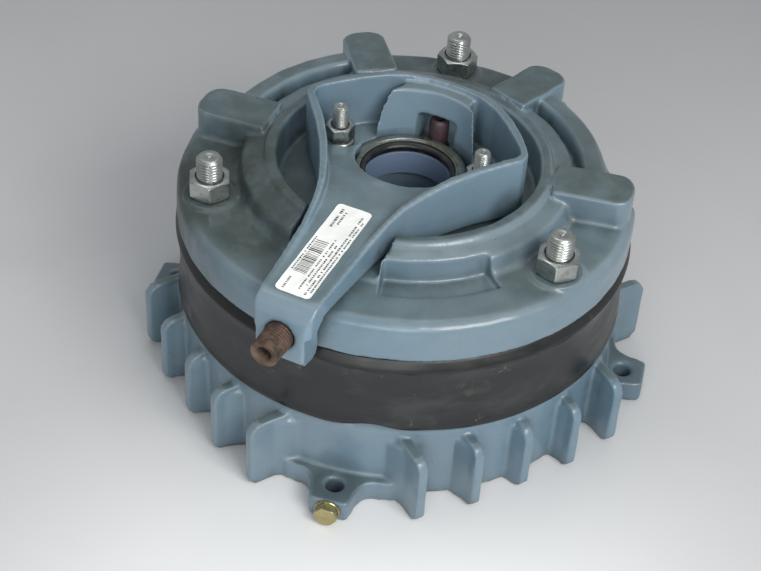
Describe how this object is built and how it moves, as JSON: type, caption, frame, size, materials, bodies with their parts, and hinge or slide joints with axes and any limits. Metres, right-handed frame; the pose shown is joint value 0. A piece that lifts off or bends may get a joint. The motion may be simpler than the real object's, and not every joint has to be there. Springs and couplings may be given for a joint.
{
  "type": "spring-applied electromagnetic disc clutch-brake",
  "caption": "Round spring-applied electromagnetic clutch-brake with finned end shield, rubber sealing band, studded magnet body and cast hand-release lever.",
  "frame": {"origin": "on the shaft axis in the flange face of the end shield", "axes": "+Z along the shaft axis from the flange face towards the release lever; -Y through the ear with the earth screw"},
  "size_m": [0.34, 0.3516, 0.176],
  "materials": {
    "paint_shield": "semi-gloss blue-grey enamel over cast iron",
    "paint_magnet": "semi-gloss blue-grey enamel, grimy in the recesses",
    "paint_lever": "semi-gloss blue-grey enamel",
    "rubber_band": "dusty satin",
    "rubber_seal": "satin",
    "hub_steel": "machined",
    "disc_steel": "machined",
    "lining": "ground friction lining",
    "plate_steel": "ground",
    "copper": "enamelled copper winding",
    "resin": "potting resin",
    "spring_steel": "drawn wire",
    "sleeve_steel": "turned",
    "zinc_stud": "bright zinc",
    "zinc_nut": "bright zinc",
    "ring_steel": "turned, stained",
    "brown_plastic": "matt",
    "rusty_steel": "rusted",
    "label_paper": "coated paper label",
    "yellow_zinc": "yellow passivated zinc"
  },
  "bodies": {
    "housing": {"end_shield": "paint_shield", "shaft_seal": "rubber_seal", "setting_sleeves": "sleeve_steel", "adjusting_studs": "zinc_stud", "adjusting_nuts": "zinc_nut", "counter_springs": "spring_steel", "sealing_band": "rubber_band", "magnet_body": "paint_magnet", "coil_winding": "copper", "coil_potting": "resin", "bore_ring": "ring_steel", "bore_seal": "rubber_seal", "lead_grommet": "brown_plastic", "brake_springs": "spring_steel", "earth_screw": "yellow_zinc", "earth_washer": "yellow_zinc"},
    "rotor": {"hub": "hub_steel", "disc_carrier_lower": "disc_steel", "disc_carrier_upper": "disc_steel", "linings_lower": "lining", "linings_upper": "lining"},
    "middle_plate": {"intermediate_plate": "plate_steel"},
    "armature": {"pressure_plate": "plate_steel", "release_studs": "zinc_stud", "release_washers": "zinc_nut", "release_nuts": "zinc_nut", "release_springs": "spring_steel"},
    "lever": {"release_lever": "paint_lever", "lever_stub": "rusty_steel", "label": "label_paper"}
  },
  "joints": [
    {"name": "rotor_turn", "type": "hinge", "parent": "housing", "child": "rotor", "pos_m": [0, 0, 0.0635], "axis": [0, 0, 1], "continuous": true},
    {"name": "lever_tilt", "type": "hinge", "parent": "housing", "child": "lever", "pos_m": [0.01196, 0.05624, 0.134], "axis": [-0.9781, 0.2079, 0], "range_deg": [0, 2.6]},
    {"name": "armature_lift", "type": "slide", "parent": "housing", "child": "armature", "axis": [0, 0, 1], "range_m": [0, 0.0006], "stiffness_N_per_m": 4000, "springref_m": -0.004, "deforming": ["brake_springs", "release_springs"]},
    {"name": "plate_float", "type": "slide", "parent": "housing", "child": "middle_plate", "axis": [0, 0, 1], "range_m": [0, 0.0003]}
  ],
  "couplings": [
    {"joint": "armature_lift", "follows": "lever_tilt", "m_per_rad": 0.013202},
    {"joint": "plate_float", "follows": "lever_tilt", "m_per_rad": 0.006601}
  ]
}
